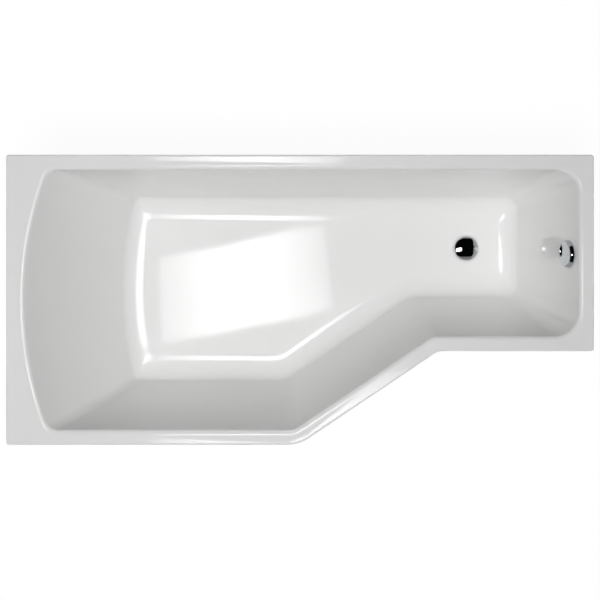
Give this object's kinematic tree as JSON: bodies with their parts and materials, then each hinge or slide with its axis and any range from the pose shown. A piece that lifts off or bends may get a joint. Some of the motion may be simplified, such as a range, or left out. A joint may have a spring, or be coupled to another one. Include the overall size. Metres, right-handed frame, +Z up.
{
  "type": "asymmetric corner bath",
  "caption": "Asymmetric corner bath with a sloping back, a tapered foot end, a rotary overflow that lifts the plug, a trap and adjustable feet.",
  "frame": {"origin": "on the floor, below the middle of the rim's outer box", "axes": "+X from the head end to the foot end, +Y towards the straight back edge, +Z up"},
  "size_m": [1.6, 0.79, 0.6],
  "materials": {
    "acrylic": "gloss white sanitary acrylic, glass-fibre back",
    "board": "bare chipboard",
    "galvanised": "galvanised sheet",
    "zinc": "zinc plated",
    "foot_plastic": "black moulded plastic",
    "chrome": "polished chrome",
    "seal_rubber": "black seal rubber",
    "white_plastic": "white moulded plastic",
    "grey_plastic": "grey moulded plastic",
    "hose_plastic": "white ribbed hose",
    "brass": "turned brass",
    "cable_sheath": "black cable sheath"
  },
  "bodies": {
    "tub": {"acrylic_shell": "acrylic", "base_board": "board", "cradle_rail_head": "galvanised", "cradle_rail_foot": "galvanised", "rail_screws": "zinc", "stud_nuts": "zinc", "waste_flange": "chrome", "waste_gasket_upper": "seal_rubber", "waste_gasket_lower": "seal_rubber", "waste_body": "white_plastic", "trap_washer": "seal_rubber", "trap_inlet_nut": "grey_plastic", "trap_bend": "white_plastic", "trap_outlet_nut": "grey_plastic", "outlet_pipe": "white_plastic", "overflow_clamp_ring": "chrome", "overflow_gasket": "seal_rubber", "overflow_elbow": "white_plastic", "hose_nut_upper": "grey_plastic", "overflow_hose": "hose_plastic", "hose_nut_lower": "grey_plastic", "control_cable": "cable_sheath"},
    "knob": {"overflow_knob": "chrome", "knob_spindle": "brass", "cable_drum": "grey_plastic"},
    "plug": {"plug_cap": "chrome", "plug_seal": "seal_rubber", "plug_stem": "brass"},
    "lever": {"lift_lever": "brass"},
    "foot_1": {"foot_stud_1": "zinc", "foot_pad_1": "foot_plastic"},
    "foot_2": {"foot_stud_2": "zinc", "foot_pad_2": "foot_plastic"},
    "foot_3": {"foot_stud_3": "zinc", "foot_pad_3": "foot_plastic"},
    "foot_4": {"foot_stud_4": "zinc", "foot_pad_4": "foot_plastic"}
  },
  "joints": [
    {"name": "knob_turn", "type": "hinge", "parent": "tub", "child": "knob", "pos_m": [0.74735, 0.122, 0.53], "axis": [-0.9759, 0, 0.2181], "range_deg": [0, 90]},
    {"name": "plug_lift", "type": "slide", "parent": "tub", "child": "plug", "axis": [0, 0, 1], "range_m": [0, 0.01035]},
    {"name": "lever_turn", "type": "hinge", "parent": "tub", "child": "lever", "pos_m": [0.49968, 0.122, 0.13018], "axis": [0, -1, 0], "range_deg": [0, 30]},
    {"name": "foot_1_height", "type": "slide", "parent": "tub", "child": "foot_1", "axis": [0, 0, -1], "range_m": [-0.03, 0.03]},
    {"name": "foot_2_height", "type": "slide", "parent": "tub", "child": "foot_2", "axis": [0, 0, -1], "range_m": [-0.03, 0.03]},
    {"name": "foot_3_height", "type": "slide", "parent": "tub", "child": "foot_3", "axis": [0, 0, -1], "range_m": [-0.03, 0.03]},
    {"name": "foot_4_height", "type": "slide", "parent": "tub", "child": "foot_4", "axis": [0, 0, -1], "range_m": [-0.03, 0.03]}
  ],
  "couplings": [
    {"joint": "plug_lift", "follows": "knob_turn", "m_per_rad": 0.0065908},
    {"joint": "lever_turn", "follows": "knob_turn", "ratio": 0.33333}
  ]
}
